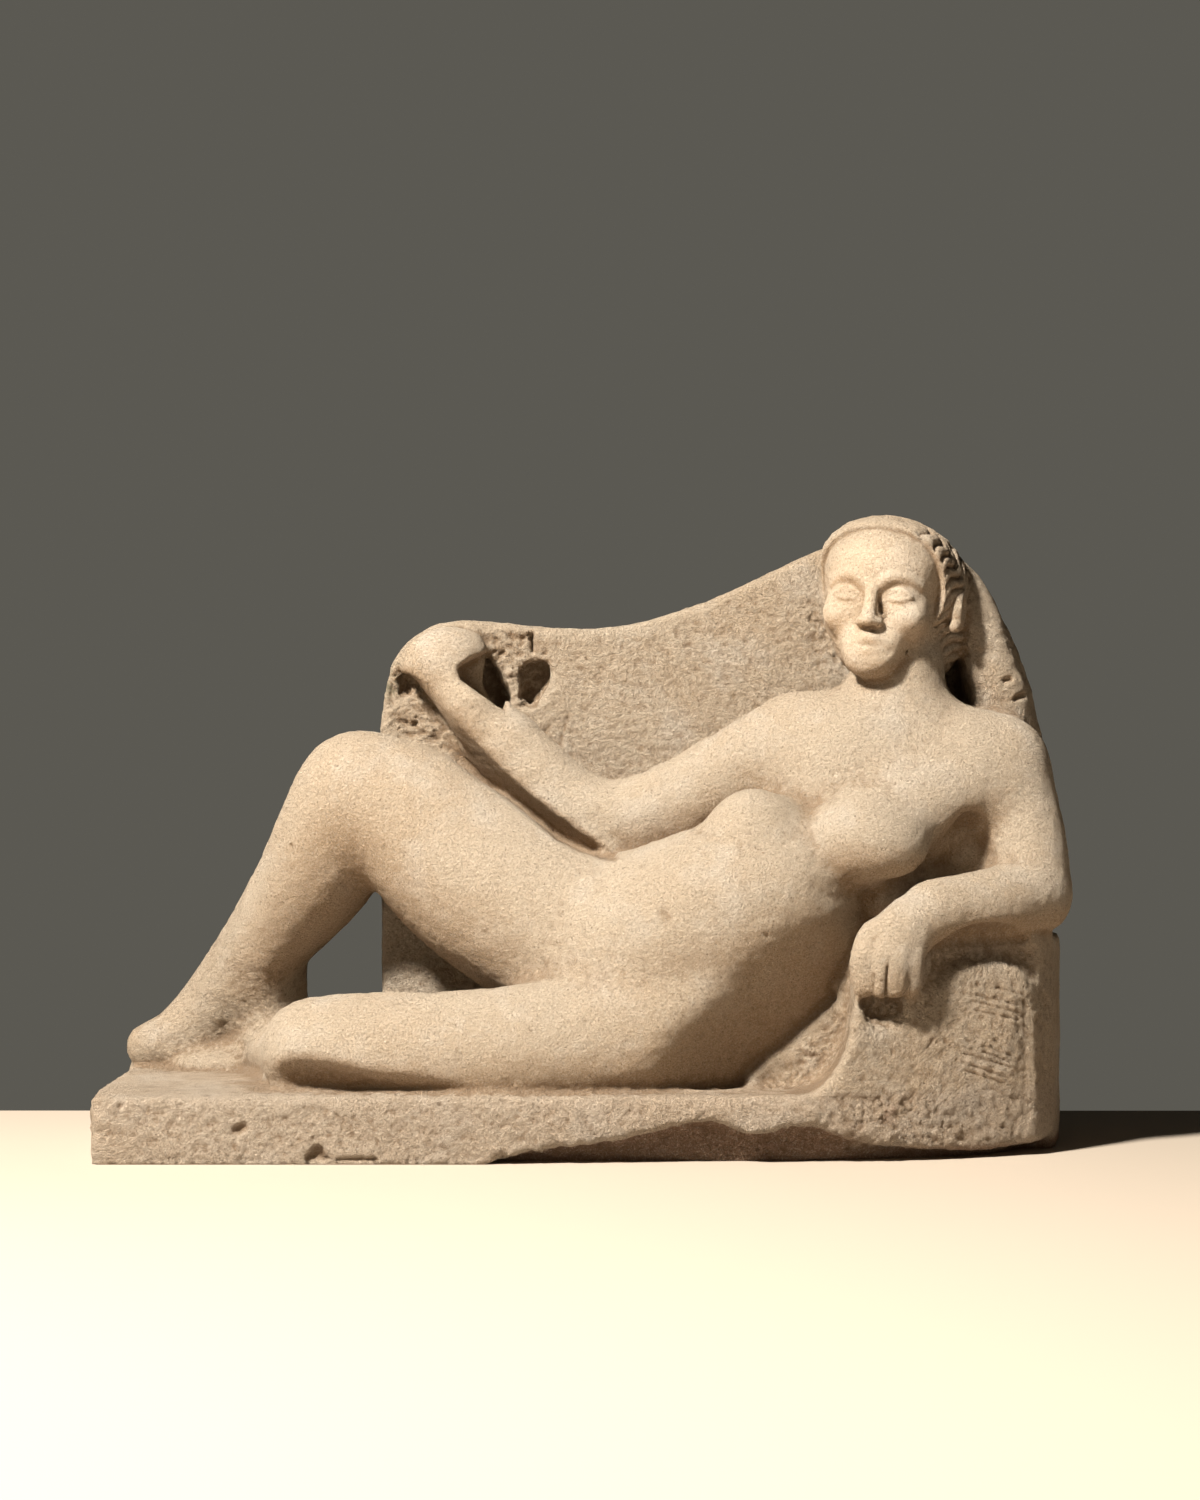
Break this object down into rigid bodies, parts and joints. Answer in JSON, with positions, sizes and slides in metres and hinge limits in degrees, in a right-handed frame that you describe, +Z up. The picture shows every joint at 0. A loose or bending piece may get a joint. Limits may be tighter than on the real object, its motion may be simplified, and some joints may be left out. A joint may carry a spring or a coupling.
{
  "type": "reclining figure sculpture",
  "caption": "Carved stone sculpture of a reclining nude woman with a raised knee, in front of a slab left from the block, on a low base.",
  "frame": {"origin": "centre of the bounding box, on the underside of the base", "axes": "+X towards the figure's head, +Y from the carved front to the plain back, +Z up"},
  "size_m": [0.4298, 0.17, 0.282],
  "materials": {
    "limestone": "matt, finely pecked, with tool marks and small pits"
  },
  "bodies": {
    "root": {"reclining_woman": "limestone"}
  },
  "joints": []
}
